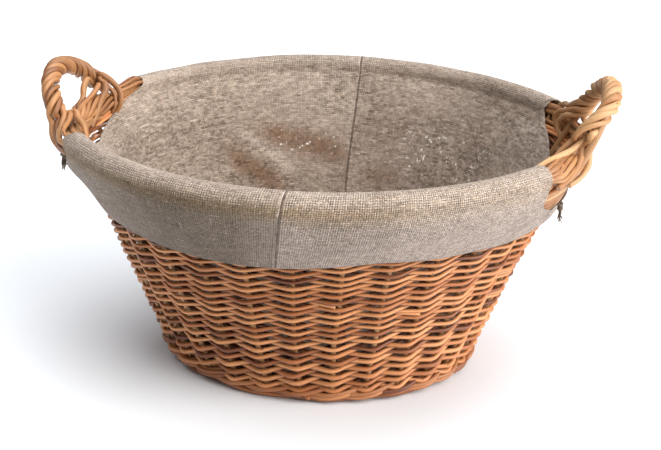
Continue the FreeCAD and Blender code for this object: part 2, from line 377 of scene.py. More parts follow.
def hessian(name, light, mid, dark, pitch=2.0):
    """Plain-woven jute: round yarns over and under each other, uneven in thickness and shade, with
    small gaps between them. Attribute cloth: metres across and along the cut cloth, and the panel's number.
    The attribute for inside, shade and glint holds: share inside the basket, painted shade in the folds (below nought
    a painted highlight on a fold ridge), and painted flecks of light."""
    t = Tree(name)
    co = t.attr("cloth")
    x, y, kind = t.split(co)
    inside, brown, glint = t.split(t.attr("inside_shade_glint"))
    band, cool, dusk = t.split(t.attr("tone"))
    k = 1.0 / (pitch * MM)
    # the yarns wander a little
    drift = t.noise(t.scale(co, (30, 30, 1)), 1.0, 1.0, 0.6)
    drift2 = t.noise(t.scale(co, (33, 27, 1)), 1.3, 1.0, 0.6)
    u = t.math("MULTIPLY_ADD", x, k, t.map(drift, 0.2, 0.8, -0.4, 0.4))
    v = t.math("MULTIPLY_ADD", y, k * 0.97, t.map(drift2, 0.2, 0.8, -0.4, 0.4))
    iu, iv = t.math("FLOOR", u), t.math("FLOOR", v)
    fu, fv = t.math("FRACT", u), t.math("FRACT", v)

    def yarn(f, index, along, width):
        """Cross-section height of one yarn set, its yarns' own thickness from noise along each."""
        thick = t.noise(t.join(t.math("MULTIPLY", index, 7.31), t.math("MULTIPLY", along, 0.11), kind), 1.0, 2.0, 0.6)
        w = t.map(thick, 0.25, 0.75, width * 0.80, width * 1.18)
        d = t.math("ABSOLUTE", t.math("SUBTRACT", f, 0.5))
        q = t.math("DIVIDE", d, w)
        h = t.math("SUBTRACT", 1.0, t.math("MULTIPLY", q, q))
        return t.math("MAXIMUM", h, 0.0), thick

    hu, tu = yarn(fu, iu, v, 0.42)
    hv, tv = yarn(fv, iv, u, 0.40)
    cu = t.math("COSINE", t.math("MULTIPLY", t.math("ADD", t.math("SUBTRACT", v, 0.5), iu), pi))
    cv = t.math("COSINE", t.math("MULTIPLY", t.math("ADD", t.math("SUBTRACT", u, 0.5), t.math("ADD", iv, 1.0)), pi))
    hu = t.math("MULTIPLY", t.math("SQRT", hu), t.math("MULTIPLY_ADD", cu, 0.26, 0.74))
    hv = t.math("MULTIPLY", t.math("SQRT", hv), t.math("MULTIPLY_ADD", cv, 0.28, 0.68))
    h = t.math("MAXIMUM", hu, hv)
    top_u = t.math("GREATER_THAN", hu, hv)
    fuzz = t.noise(t.scale(co, (1500, 1500, 1)), 1.0, 2.0, 0.7)
    wash = t.noise(t.scale(co, (12, 15, 1)), 1.0, 3.0, 0.6)
    patch = t.noise(t.scale(co, (60, 75, 1)), 1.7, 2.0, 0.6)
    cell = t.white(t.join(iu, iv, kind))
    # slow changes of shade along each single yarn
    rows = t.noise(t.join(t.math("MULTIPLY", u, 0.10), t.math("MULTIPLY", iv, 5.37), kind), 1.0, 1.0, 0.5)
    cols = t.noise(t.join(t.math("MULTIPLY", iu, 3.91), t.math("MULTIPLY", v, 0.10), kind), 1.0, 1.0, 0.5)
    shade = t.math("MULTIPLY_ADD", cell, t.math("MULTIPLY_ADD", inside, -0.14, 0.30), t.math("MULTIPLY", inside, 0.05))
    shade = t.math("MULTIPLY_ADD", fuzz, 0.26, shade)
    shade = t.math("MULTIPLY_ADD", wash, 0.34, shade)
    shade = t.math("MULTIPLY_ADD", patch, t.math("MULTIPLY_ADD", inside, -0.10, 0.22), shade)
    shade = t.math("ADD", shade, t.math("MULTIPLY", inside, -0.01))
    lines = t.mix(t.math("MULTIPLY_ADD", inside, 0.35, 0.40), t.mix(top_u, rows, cols), rows)
    shade = t.math("MULTIPLY_ADD", lines, 0.42, shade)
    f = t.map(shade, 0.52, 0.96, 0.0, 1.0)
    col = t.ramp(f, [(0.0, dark), (0.5, mid), (1.0, light)])
    # a yellower strip where the cloth turns over the rim, cooler and pinker below it
    col = t.mix(band, col, t.mix(1.0, col, (0.86, 0.76, 0.60), "MULTIPLY"))
    col = t.mix(cool, col, t.mix(1.0, col, (0.95, 0.955, 0.99), "MULTIPLY"))
    # painted shade: the cloth is made darker where dusk says
    col = t.mix(dusk, col, t.mix(1.0, col, (0.42, 0.405, 0.365), "MULTIPLY"))
    # painted shade in the folds inside the liner, where brown is above nought
    fold_shade_mask = t.math("MULTIPLY", t.math("MULTIPLY", t.math("MAXIMUM", brown, 0.0), 1.15, clamp=True), t.map(t.math("ADD", rows, patch), 0.75, 1.15, 0.55, 1.0))
    col = t.mix(t.math("MULTIPLY", fold_shade_mask, 0.85), col, (0.22, 0.115, 0.06))
    # painted highlight: a paler ridge where a fold stands up
    col = t.mix(t.math("MULTIPLY", t.math("MULTIPLY", brown, -0.55), 1.0, clamp=True), col, (light[0] * 1.05, light[1] * 1.05, light[2] * 1.04))
    # where the panels are sewn together: a pale welt on one edge, a dark line beside it
    edge = t.math("SUBTRACT", 0.3644, t.math("ABSOLUTE", x))
    near_l = t.math("MULTIPLY", t.map(edge, 0.0012, 0.0026, 1.0, 0.0), t.math("GREATER_THAN", kind, 4.0))
    near_l = t.math("MULTIPLY", near_l, t.math("LESS_THAN", kind, 8.0))
    near_r = t.math("MULTIPLY", t.map(edge, 0.0010, 0.0022, 1.0, 0.0), t.math("LESS_THAN", kind, 4.0))
    near_l = t.math("MULTIPLY", near_l, t.math("SUBTRACT", 1.0, inside))
    near_r = t.math("MULTIPLY", near_r, t.math("MULTIPLY_ADD", inside, -0.35, 1.0))
    col = t.mix(t.math("MULTIPLY", near_r, t.map(patch, 0.35, 0.6, 0.9, 0.5)), col, (0.13, 0.08, 0.05))
    col = t.mix(t.math("MULTIPLY", near_l, t.map(patch, 0.35, 0.6, 0.25, 0.85)), col, light)
    # single pale yarns
    pale = t.map(t.mix(top_u, rows, cols), 0.66, 0.76, 0.0, 0.28)
    col = t.mix(pale, col, (light[0] * 1.15, light[1] * 1.12, light[2] * 1.06))
    # painted shade in the gaps between the yarns, darkest where the yarns are low: some gaps are drawn open and near
    # black, in short runs along the weft inside
    dash = t.noise(t.join(t.math("MULTIPLY", u, 0.20), t.math("MULTIPLY", iv, 8.13), t.math("ADD", kind, 3.0)), 1.0, 1.0, 0.5)
    run = t.map(dash, 0.47, 0.66, 0.0, 1.0)
    run = t.math("MULTIPLY", run, t.map(t.noise(t.scale(co, (9, 11, 1)), 1.0, 1.0, 0.5), 0.38, 0.58, 0.50, 1.0))
    run = t.math("MULTIPLY", run, t.math("MULTIPLY_ADD", inside, 0.75, 0.20))
    hole = t.map(t.math("MULTIPLY_ADD", cell, 1.0, t.math("MULTIPLY", patch, 0.6)), 0.48, 1.20, 0.12, 1.0)
    hole = t.math("MULTIPLY", hole, t.math("MULTIPLY_ADD", inside, -0.80, 1.0))
    opened = t.math("ADD", hole, run, clamp=True)
    deep = t.map(h, 0.46, 0.88, 1.0, 0.0)
    gap = t.math("MULTIPLY", deep, t.math("MULTIPLY_ADD", opened, 0.95, 0.05))
    # along the weft the dark runs reach over the thin places of the warp
    slit = t.math("MULTIPLY", t.map(hv, 0.25, 0.5, 1.0, 0.0), t.math("MULTIPLY", run, 0.65))
    gap = t.math("MAXIMUM", gap, slit)
    # now and then a wide gap, mostly on the cuff
    wide = t.math("MULTIPLY", t.map(cell, 0.74, 0.82, 0.0, 1.0), t.math("MULTIPLY_ADD", inside, -0.62, 0.70))
    gap = t.math("MAXIMUM", gap, t.math("MULTIPLY", t.map(h, 0.62, 0.97, 1.0, 0.0), wide))
    # painted shade: the gaps are coloured near black
    col = t.mix(gap, col, (0.045, 0.03, 0.02))
    # uneven fibre: small slubs on the cuff, longer ones along the weft inside
    slub_o = t.white(t.join(t.math("FLOOR", t.math("MULTIPLY", u, 1.7)), t.math("FLOOR", t.math("MULTIPLY", v, 1.9)), t.math("ADD", kind, 0.4)))
    slub_i = t.white(t.join(t.math("FLOOR", t.math("MULTIPLY_ADD", u, 0.52, t.math("MULTIPLY", iv, 0.37))), iv, t.math("ADD", kind, 0.6)))
    slub = t.math("ADD", t.math("MULTIPLY", t.map(slub_o, 0.0, 1.0, 0.66, 1.26), t.math("SUBTRACT", 1.0, inside)),
                  t.math("MULTIPLY", t.map(slub_i, 0.0, 1.0, 0.80, 1.18), inside))
    col = t.mix(1.0, col, slub, "MULTIPLY")
    # painted highlight: pale flecks of light through the weave, in rows, where glint says
    fl = t.noise(t.join(t.math("MULTIPLY", u, 0.22), t.math("MULTIPLY", iv, 9.1), kind), 1.0, 1.0, 0.5)
    fl = t.math("MULTIPLY", t.map(fl, 0.62, 0.68, 0.0, 1.0), glint)
    fl = t.math("MULTIPLY", fl, t.map(cell, 0.3, 0.6, 0.0, 1.0))
    col = t.mix(fl, col, (0.97, 0.93, 0.88))
    t.put(t.bsdf.inputs["Base Color"], col)
    t.bsdf.inputs["Roughness"].default_value = 0.92
    t.bsdf.inputs["Specular IOR Level"].default_value = 0.12
    t.bsdf.inputs["Sheen Weight"].default_value = 0.12
    t.bsdf.inputs["Sheen Roughness"].default_value = 0.5
    t.bump(t.math("MULTIPLY_ADD", fuzz, 0.25, h), 0.6, 0.0008)
    return t.mat


LIGHT, MID, DARK = (0.74, 0.322, 0.128), (0.49, 0.168, 0.052), (0.13, 0.030, 0.009)
m_weave = willow("willow_weave", LIGHT, MID, DARK, 0.5, 0.75)
m_foot = willow("willow_foot", (0.68, 0.30, 0.12), (0.45, 0.155, 0.048), DARK, 0.5, 0.35)
m_stick = willow("willow_sticks", (0.52, 0.31, 0.16), (0.40, 0.20, 0.08), (0.22, 0.09, 0.03))
m_border = willow("willow_border", (0.52, 0.28, 0.13), (0.38, 0.175, 0.066), (0.19, 0.066, 0.022))
m_handle = willow("willow_handle", (0.62, 0.355, 0.165), (0.45, 0.205, 0.078), (0.20, 0.066, 0.02), 0.46, 0.4)
m_cloth = hessian("hessian", (0.715, 0.592, 0.505), (0.515, 0.414, 0.341), (0.265, 0.198, 0.150), 1.9)
m_tie = hessian("tie_cord", (0.66, 0.57, 0.48), (0.46, 0.39, 0.32), (0.24, 0.20, 0.155), 1.6)


# ------------------------------------------------------------------ the wicker wall
WALL = [(0.0, 149.5, 123.5), (190.0, 227.5, 189.2), (222.0, 246.3, 204.3)]
WALL_T = 10.0
MIDW = -WALL_T / 2
BORDER_A, BORDER_B, BORDER_Z = 249.0, 207.0, 229.5
PITCH_Z = [0, 20, 60, 90, 120, 150, 180, 212, 230]
PITCH = [9.2, 9.2, 8.6, 7.8, 7.4, 7.1, 6.8, 6.5, 6.5]  # two rows, by height
T0 = math.radians(-87.6)
DT = math.radians(12.0)


def half(z, off=0.0):
    z = np.asarray(z, float)
    zz = [w[0] for w in WALL]
    a = np.interp(z, zz, [w[1] for w in WALL])
    b = np.interp(z, zz, [w[2] for w in WALL])
    # go on outward above the last level
    k = np.maximum(z - 222.0, 0) * 0.5
    return a + off + k, b + off + k


def lean_x(z):
    """The lower wicker stands a little to the left of the rim."""
    return -4.2 * smooth((212.0 - np.asarray(z, float)) / 95.0)


rim_rc = [-0.0144, 0.0103, 0.0074, 0.0160, 0.0037, 0.0027]
rim_zc = [-0.5, -1.44, -2.72, 0.8, 0.45, -2.1]


def rim_shape(t):
    """Small hand-made irregularities of the rim: radius factor and height."""
    m, dz = 0.0, 0.0
    for k in range(3):
        m = m + rim_rc[2 * k] * np.cos((k + 2) * t) + rim_rc[2 * k + 1] * np.sin((k + 2) * t)
        dz = dz + rim_zc[2 * k] * np.cos((k + 1) * t) + rim_zc[2 * k + 1] * np.sin((k + 1) * t)
    return m, dz


def place(a, b, z, t):
    """A point of the oval with those half-lengths, with the rim's irregular shape worked in."""
    m, dz = rim_shape(t)
    top = smooth((z - 120.0) / 110.0)
    k = 1 + 0.8 * m * top
    return np.stack([lean_x(z) + a * k * np.cos(t), b * k * np.sin(t), z + 0.8 * dz * top + 0 * t], -1)


def wall(t, z, off):
    """off is measured square to the sloping wall, from its outer face."""
    z = np.asarray(z, float)
    d = off - MIDW
    a, b = half(z, MIDW)
    return place(a + 0.945 * d, b + 0.945 * d, z, t) - np.stack([0 * t, 0 * t, 0.33 * d + 0 * t], -1)


def notch_dip(t):
    """1 in the middle of a handle opening, 0 under the cuff."""
    y = np.abs(207.0 * np.sin(t))
    return smooth((100.0 - y) / 30.0)


# rows climb at the local pitch: row count from height and back
zt = np.linspace(16.0, 214.0, 800)
rt = np.concatenate([[0], np.cumsum(np.diff(zt) / np.interp(zt[1:], PITCH_Z, PITCH))])
ROWS = rt[-1]

rng = np.random.default_rng(7)
N_ST = 30
groups = [Rods(100 + g) for g in range(6)]
stub = Rods(131)
for j in range(N_ST):
    bag = groups[j % 6]
    u_all = 2.0 * ROWS
    # each strand is two or three rods laid end to end, joined behind a stake
    cuts = [0.0]
    while cuts[-1] < u_all:
        step = rng.uniform(16, 27)
        cuts.append(cuts[-1] + 2 * round(step / 2) + (1.0 if len(cuts) == 1 else 0.0))
    cuts[-1] = u_all
    for i, (u0, u1) in enumerate(zip(cuts, cuts[1:])):
        if u1 - u0 < 1.0:
            continue
        n = int((u1 - u0 + 0.7) * 11) + 2
        u = np.linspace(u0 - 0.35 if i else -0.9, min(u1 + 0.35, u_all), n)
        ph = u * pi
        zr = np.interp(u / 2.0, rt, zt)
        p = np.interp(zr, PITCH_Z, PITCH)
        base_r = p / 4.0 * 0.97
        taper = np.linspace(1.07, 0.90, n) * rng.uniform(0.95, 1.06)
        rad = base_r * taper
        amp = 2.9 + rad
        swing = (np.cos(ph) + 0.12 * np.cos(3 * ph)) / 1.1
        swing = swing * (1 + 0.05 * wobble(rng, 9, 30, u))
        t = T0 + DT * (u + j) + 0.010 * wobble(rng, 12, 30, u)
        z = zr + 0.40 * wobble(rng, 14, 30, u) - 0.75 * swing
        lift = 0.35 if i % 2 else 0.0
        pts = wall(t, z, MIDW + amp * swing + lift * (np.abs(u - u0) < 0.4))
        bag.add(pts, rad, 10, rough=0.025, deep=0.85 * smooth((0.15 - swing) / 0.8))
        # a few rods end outside, cut just past the stake
        if i and rng.uniform() < 0.35:
            ue = u0
            uu = np.linspace(ue - 0.62, ue - 0.08, 6)
            zz = np.interp(uu / 2.0, rt, zt) + np.linspace(1.2, 0.4, 6)
            tt = T0 + DT * (uu + j)
            pp = wall(tt, zz, MIDW + np.linspace(-1.5, 5.4, 6))
            stub.add(pp, 1.55, 9, tint=0.9)
for g, bag in enumerate(groups):
    bag.make(f"side_weave_{g + 1}", m_weave, "basket", "side_weave", slot="willow_weave")
stub.make("side_weave_rod_ends", m_weave, "basket", "side_weave", slot="willow_weave")

# ---- stakes
st = Rods(11)
for k in range(N_ST):
    t = T0 + DT * k
    z = np.concatenate([np.linspace(6, 190, 24), np.linspace(195, 226, 6)])
    dip = notch_dip(np.array([t]))[0]
    z = np.minimum(z, 226.0 - 4.0 * dip)
    tt = np.full(len(z), t) + 0.004 * wobble(st.rng, 3, 240, z)
    st.add(wall(tt, z, MIDW), np.linspace(2.7, 2.2, len(z)), 10)
st.make("stakes", m_stick, "basket", "side_stakes", slot="willow_sticks")


# ---- wales: rods that go outside two stakes and inside one
def wale(bag, z0, z1, r, turns, start=0.0, rise=1.0, off=0.0):
    """Three rods at once, climbing from z0 to z1 in the given number of turns."""
    for i in range(3):
        n = int(turns * 30 * 9)
        u = np.linspace(0, turns * 30, n) + start + i
        ph = ((u - i - start) % 3) / 3
        g = 1 / 3 - 4 / 3 * np.cos(2 * pi * (ph - 5 / 6))
        zc = np.interp(u - start - i, [0, turns * 30], [z0, z1])
        loc_z = rise * r * 1.0 * np.sin(2 * pi * (ph - 1 / 3))
        t = T0 + DT * u
        pts = wall(t, zc + loc_z, MIDW + off + (2.2 + r) * g)
        bag.add(pts, r * (1 + 0.04 * wobble(bag.rng, 4, 80, u)), 10, rough=0.02)


fw = Rods(21)
# the foot: two thick rods twisted round each other, and a round of finer waling on them
n = 900
for i in range(2):
    t = np.linspace(0, 2 * pi, n) + math.radians(-81) + i * 0.1
    ph = 13 * (t - math.radians(-81.0)) / 2 + pi * i
    r = 2.55
    pts = wall(t, 4.6 - 1.9 * np.sin(ph), MIDW + 0.9 + 2.6 * np.cos(ph))
    pts[:, 2] = np.maximum(pts[:, 2], r * 1.13)
    fw.add(pts, r * (1 + 0.06 * wobble(fw.rng, 4, 2 * pi, t)), 12, rough=0.02)
wale(fw, 9.6, 16.5, 2.15, 1.9, rise=1.0, off=0.3)
for deg in (-84.5, -66.0, -20.0, 62.0, 118.0, 170.0, 215.0):
    t = math.radians(deg)
    tt = t + np.linspace(-0.055, 0.012, 8)
    fw.add(wall(tt, np.linspace(12.5, 6.6, 8), MIDW + np.linspace(-1.0, 6.2, 8)), 2.2, 10)
fw.make("foot_wale_rods", m_foot, "basket", "foot_wale", slot="willow_weave")
tw = Rods(22)
wale(tw, 213.5, 219.0, 1.95, 1.7, start=4.0, rise=0.9)
tw.make("top_wale_rods", m_weave, "basket", "top_wale", slot="willow_weave")


# ---- border: the stakes' own ends, rolled round the rim
def rim(t):
    d = notch_dip(t)
    return place(BORDER_A - 5.0 * d, BORDER_B, BORDER_Z - 3.0 * d, t), 8.9 - 1.0 * d


bd = Rods(31)
for k in range(6):
    cuts = np.sort(bd.rng.uniform(0, 2 * pi, 4))
    cuts = np.append(cuts, cuts[0] + 2 * pi)
    for a0, a1 in zip(cuts, cuts[1:]):
        if a1 - a0 < 0.25:
            continue
        n = int((a1 - a0 + 0.1) * 235 / 3) + 4
        t = np.linspace(a0 - 0.05, a1 + 0.05, n)
        c, R = rim(t)
        rr = 2.95
        al = 2 * pi * k / 6 + t * 235 / 190.0 * 2 * pi * 0.55
        # outward and up at each place on the rim
        e = np.stack([np.cos(t) * BORDER_B, np.sin(t) * BORDER_A, 0 * t], -1)
        e /= np.linalg.norm(e, axis=1)[:, None]
        orb = R - rr
        pts = c + (orb * np.cos(al))[:, None] * e
        pts[:, 2] += orb * np.sin(al)
        bd.add(pts, rr * np.concatenate([np.linspace(0.8, 1, 6), np.ones(n - 12), np.linspace(1, 0.75, 6)]), 10, rough=0.03)
t = np.linspace(0, 2 * pi, 400)
c, R = rim(t)
bd.add(c, 3.4, 10)
for mid_t in (0.0, pi):
    t = mid_t + np.linspace(-0.62, 0.62, 90)
    for q in range(4):
        bd.add(wall(t, 213.5 + 2.7 * q + 0.5 * np.sin(15 * t + q), MIDW - 0.6 + 1.6 * np.sin(15 * t + pi * q)), 1.75, 8, rough=0.03)
bd.make("border_rods", m_border, "basket", "border", slot="willow_border")

# ---- base: weave round and through the sticks
bs = Rods(41)
stk = Rods(42)
a_in, b_in = half(9.5, -WALL_T - 1.0)
for y in (-36, -18, 0, 18, 36):
    x = a_in * math.sqrt(1 - (y / b_in) ** 2) - 1.0
    xs = np.linspace(-x, x, 40)
    stk.add(np.stack([xs - 4.2, y + 0.5 * wobble(stk.rng, 3, 300, xs), 9.2 + 0 * xs], -1), 2.6, 10)
for x in range(-96, 97, 32):
    y = b_in * math.sqrt(1 - (x / a_in) ** 2) - 1.0
    ys = np.linspace(-y, y, 40)
    stk.add(np.stack([x - 4.2 + 0.5 * wobble(stk.rng, 3, 300, ys), ys, 9.2 + 0 * ys], -1), 2.9, 10)
stk.make("base_sticks", m_stick, "basket", "base_long_sticks", "base_cross_sticks", slot="willow_sticks")
for i in range(int(2 * (b_in - 2) / 4.0)):
    y = -b_in + 3.5 + 4.0 * i
    x = a_in * math.sqrt(max(0.0, 1 - (y / b_in) ** 2)) - 3.0
    if x < 20:
        continue
    n = int(2 * x / 2.6) + 4
    xs = np.linspace(-x, x, n)
    zz = 9.2 + 4.0 * np.cos(pi * (xs / 32.0 + i))
    bs.add(np.stack([xs - 4.2, y + 0.4 * wobble(bs.rng, 4, 260, xs), zz], -1), 1.75, 8, rough=0.03)
t = np.linspace(0, 2 * pi, 260)
for k, (o, z) in enumerate(((0.0, 6.4), (-1.0, 12.2), (-4.0, 9.2))):
    bs.add(np.stack([-4.2 + (a_in + o) * np.cos(t), (b_in + o) * np.sin(t), z + 0.8 * np.sin(15 * t)], -1), 2.2, 8)
bs.make("base_weave_rods", m_weave, "basket", "base_weave", slot="willow_weave")


# ------------------------------------------------------------------ handles
REACH, ROPE_R, BOW_HALF = 275.0, 9.5, 58.0
HANDLES = {  # side, rise, lean, y of its middle, yaw in degrees, one twist's length, strand radius
    "left": (-1, 54.0, 33.0, -4.5, 0.0, 44.0, 2.95),
    "right": (1, 64.5, 27.0, 5.0, -6.0, 50.0, 3.15),
}
# Where the strands go after they leave the twisted part: along the rim (mm), round the border
# (degrees: 0 outside, 90 on top, 180 inside, -90 below), and how far from its middle line.
NEAR_ENDS = {
    "left": [
        [(-60, 25, 22), (-66, 0, 20), (-78, -25, 17), (-90, -45, 15), (-100, -60, 13)],
        [(-60, 45, 20), (-68, 20, 17), (-80, -5, 14.5), (-94, -25, 13), (-104, -35, 11)],
        [(-60, 62, 18), (-70, 45, 15), (-84, 25, 13.5), (-98, 5, 12), (-108, 0, 9)],
        [(-58, 80, 17), (-70, 70, 14), (-86, 55, 13), (-98, 45, 12), (-108, 40, 8)],
        [(-52, 95, 17), (-62, 105, 14.5), (-78, 130, 14), (-92, 155, 13.5), (-100, 182, 13)],
    ],
    "right": [
        [(-42, 90, 23), (-45, 108, 18), (-50, 132, 15), (-58, 160, 13.5), (-66, 190, 13)],
        [(-39, 84, 25), (-40, 104, 18.5), (-43, 130, 15), (-48, 162, 13.5), (-53, 195, 13)],
        [(-44, 74, 22), (-50, 80, 17), (-60, 92, 14), (-76, 106, 13), (-102, 122, 10)],
        [(-40, 56, 24), (-41, 38, 18), (-44, 8, 15.5), (-52, -28, 14.8), (-64, -58, 15)],
        [(-44, 62, 21), (-50, 46, 16.5), (-60, 18, 14), (-74, -14, 13.2), (-90, -42, 13)],
    ],
}
FAR_ENDS = {
    "left": [
        [(44, 85, 30), (50, 105, 23), (53, 135, 18), (50, 180, 15), (46, 215, 14)],
        [(38, 88, 27), (43, 105, 20), (46, 135, 15), (43, 180, 12.7), (40, 215, 12.5)],
        [(26, 75, 30), (14, 75, 24), (8, 72, 16), (3, 60, 12.8), (-4, 10, 12.6), (-8, -40, 12.6)],
        [(34, 90, 22), (20, 92, 16), (0, 95, 13.5), (-25, 98, 13), (-48, 108, 12.8), (-60, 150, 12.6), (-66, 200, 12.6)],
        [(36, 110, 22), (30, 120, 16), (16, 140, 13), (-4, 175, 12.6), (-14, 220, 12.6)],
    ],
    "right": [
        [(68, 95, 25), (80, 95, 19), (91, 92, 14.5), (99, 86, 12), (106, 80, 8)],
        [(65, 110, 22), (76, 118, 18), (86, 134, 15.5), (91, 168, 14.5), (87, 208, 14)],
        [(62, 118, 19), (71, 132, 15.5), (79, 160, 13.5), (78, 196, 13), (72, 230, 13)],
        [(67, 80, 23), (79, 74, 17), (90, 62, 13.5), (98, 42, 12), (104, 20, 9)],
        [(60, 85, 26), (59, 75, 18), (56, 60, 13.4), (53, 20, 12.6), (49, -30, 12.6)],
    ],
}
# Loose rods wound round the border beside the handles: start, end along the rim; start, end angle; radius.
WINDS = {
    "left": [(106, 60, 66, 72, 2.0), (105, 54, 100, 92, 1.9), (104, 62, 136, 120, 1.9),
             (-54, 26, 96, 18, 2.5), (-50, 32, 112, 36, 2.3), (-45, 38, 128, 54, 2.6), (-38, 44, 143, 72, 2.2),
             (-30, 50, 158, 92, 2.5), (-20, 54, 172, 112, 2.2), (-8, 58, 186, 132, 2.4), (6, 62, 200, 152, 2.1),
             (-64, 8, 166, 192, 1.8), (-54, 28, 184, 208, 1.8), (-66, -8, 146, 176, 1.8)],
    "right": [(-106, -52, 66, 104, 2.2), (-105, -47, 44, 90, 2.4), (-104, -43, 22, 76, 2.2), (-102, -38, 0, 62, 2.5),
              (-98, -34, -22, 46, 2.3), (-90, -28, -44, 28, 2.4), (-62, -98, 138, 30, 2.2), (-54, -100, 120, 2, 2.0),
              (-20, 60, 40, 66, 2.4), (-10, 66, 96, 120, 2.3), (-24, 40, 140, 200, 2.5)],
}


def round_border(side, y, al, rad):
    """A point round the border: y along the rim, al degrees from outside over the top, rad from its middle line."""
    T = np.arcsin(np.clip(np.asarray(y, float) / 207.0, -1, 1))
    ang = T if side > 0 else pi - T
    c, R = rim(ang)
    e = np.stack([np.cos(ang) * BORDER_B, np.sin(ang) * BORDER_A, 0 * ang], -1)
    e /= np.linalg.norm(e, axis=-1, keepdims=True)
    a = np.radians(np.asarray(al, float))
    pt = c + (rad * np.cos(a))[..., None] * e
    pt[..., 2] += rad * np.sin(a)
    return pt


for name, (side, rise, lean, y0, yaw, LEAD, rs) in HANDLES.items():
    ls, lc = math.sin(math.radians(lean)), math.cos(math.radians(lean))
    x0 = REACH - ROPE_R - rise * ls - 0.5
    sy = math.sin(math.radians(yaw))

    def at(y, v, w=0.0):
        """A point in the handle's leaning plane: y across, v up it, w out of it."""
        y, v = np.asarray(y, float), np.asarray(v, float)
        return np.stack(
            [side * (x0 + v * ls + w * lc) + side * y * sy, y0 + y, BORDER_Z - 2.0 + v * lc - w * ls], -1
        )

    # centre line: a half oval
    th = np.linspace(pi, 0, 260)
    yy = BOW_HALF * np.cos(th)
    vv = rise * np.sin(th)
    cl = at(yy, vv)
    tn = np.gradient(cl, axis=0)
    tn /= np.linalg.norm(tn, axis=1)[:, None]
    pn = np.cross(at(1, 0) - at(0, 0), at(0, 1) - at(0, 0))
    pn /= np.linalg.norm(pn)
    nn = np.cross(pn, tn)
    s = np.concatenate([[0], np.cumsum(np.linalg.norm(np.diff(cl, axis=0), axis=1))])
    L = s[-1]
    bow = Rods(51 if side < 0 else 52)
    ah, bh = (float(q) for q in half(178.0, MIDW))
    a_l = [[side * ah * math.sqrt(1 - (y / bh) ** 2), y, 178.0] for y in (y0 - BOW_HALF, y0 + BOW_HALF)]
    legs = [at(np.array([q]), np.array([-9.0]))[0] for q in (-BOW_HALF, BOW_HALF)]
    bow.add(catmull(np.vstack([[a_l[0]], [legs[0]], cl[4:-4:6], [legs[1]], [a_l[1]]]), 3.0), 3.6, 10)
    bow.make(f"handle_{name}_bow_rod", m_stick, "basket", f"handle_{name}_bow", slot="willow_sticks")
    rope = Rods(61 if side < 0 else 62)
    n_str = 5
    orb = 9.25 - rs
    leaves = [q + (4.0 if side > 0 else 0.0) for q in (18.0, 15.0, 21.0, 17.0, 20.0)]
    # the right handle's near leg opens out higher up
    near = [q + (8.0 if side > 0 else 0.0) for q in leaves]

    def fair(table, first):
        """Which end each strand takes: the choice with the shortest ways over from the twist."""
        tips = [round_border(side, *(np.float64(q) for q in e[0])) for e in table]
        lv = []
        for i in range(n_str):
            q = near[i] if first else L - leaves[i]
            k = int(np.searchsorted(s, q))
            al = 2 * pi * i / n_str + 2 * pi * s[k] / LEAD + 0.22 * np.sin(2 * pi * s[k] / 61 + i * 2.1)
            lv.append(cl[k] + orb * (math.cos(al) * nn[k] + math.sin(al) * pn))
        best = None
        for perm in itertools.permutations(range(n_str)):
            cost = sum(np.linalg.norm(tips[perm[i]] - lv[i]) ** 2 for i in range(n_str))
            if best is None or cost < best[0]:
                best = (cost, perm)
        return best[1]

    take = fair(NEAR_ENDS[name], True), fair(FAR_ENDS[name], False)
    for i in range(n_str):
        r_i = rs * (1.0, 0.86, 1.08, 0.93, 1.05)[i]
        # the twist loosens towards the feet
        leave = leaves[i]
        al = 2 * pi * i / n_str + 2 * pi * s / LEAD
        al = al + 0.22 * np.sin(2 * pi * s / 61 + i * 2.1)
        o = (9.25 - r_i) + 0.45 * np.sin(2 * pi * s / 57 + i * 1.7)
        o = o + 1.3 * smooth((leave + 16 - s) / 16) + 1.3 * smooth((s - L + leave + 16) / 16)
        on = cl + (o * np.cos(al))[:, None] * nn + (o * np.sin(al))[:, None] * pn
        if side > 0:
            on[:, 0] -= 11.0 * smooth((64.0 - s) / 36.0)
        keep = (s > near[i]) & (s < L - leave)
        ends = []
        for table, who in ((NEAR_ENDS, take[0]), (FAR_ENDS, take[1])):
            ends.append(np.array([round_border(side, *(np.float64(x) for x in q)) for q in table[name][who[i]]]))
        mid = on[keep]
        pts = np.vstack([ends[0][::-1], mid[:: 5], ends[1]])
        line = catmull(pts, 1.6)
        ss = np.concatenate([[0], np.cumsum(np.linalg.norm(np.diff(line, axis=0), axis=1))])
        rr = r_i * (1 + 0.06 * wobble(rope.rng, 4, 120, ss))
        rr = rr * (0.78 + 0.22 * smooth(ss / 45.0)) * (0.78 + 0.22 * smooth((ss[-1] - ss) / 45.0))
        tone = (0.85, 0.45, 0.70, 0.25, 0.98)[i]
        # painted shade and light: the left handle's strands are tinted darker, the right handle's lighter
        rope.add(line, rr, 12, rough=0.03, tint=tone * 0.5 if side < 0 else tone + 0.12)
    for y_a, y_b, al_a, al_b, r_w in WINDS[name]:
        k = np.linspace(0, 1, 26)
        y_w = y_a + (y_b - y_a) * k
        al_w = al_a + (al_b - al_a) * smooth(k * 0.9 + 0.05)
        # both ends are tucked in among the border's own rods
        rad_w = 8.6 + r_w + 1.0 * np.sin(pi * k) - 4.6 * smooth((0.22 - k) / 0.22) - 4.0 * smooth((k - 0.85) / 0.15)
        rope.add(round_border(side, y_w, al_w, rad_w), r_w * (1 - 0.15 * k), 10, rough=0.03, tint=rope.rng.uniform(0.05, 0.5))
    if side > 0:
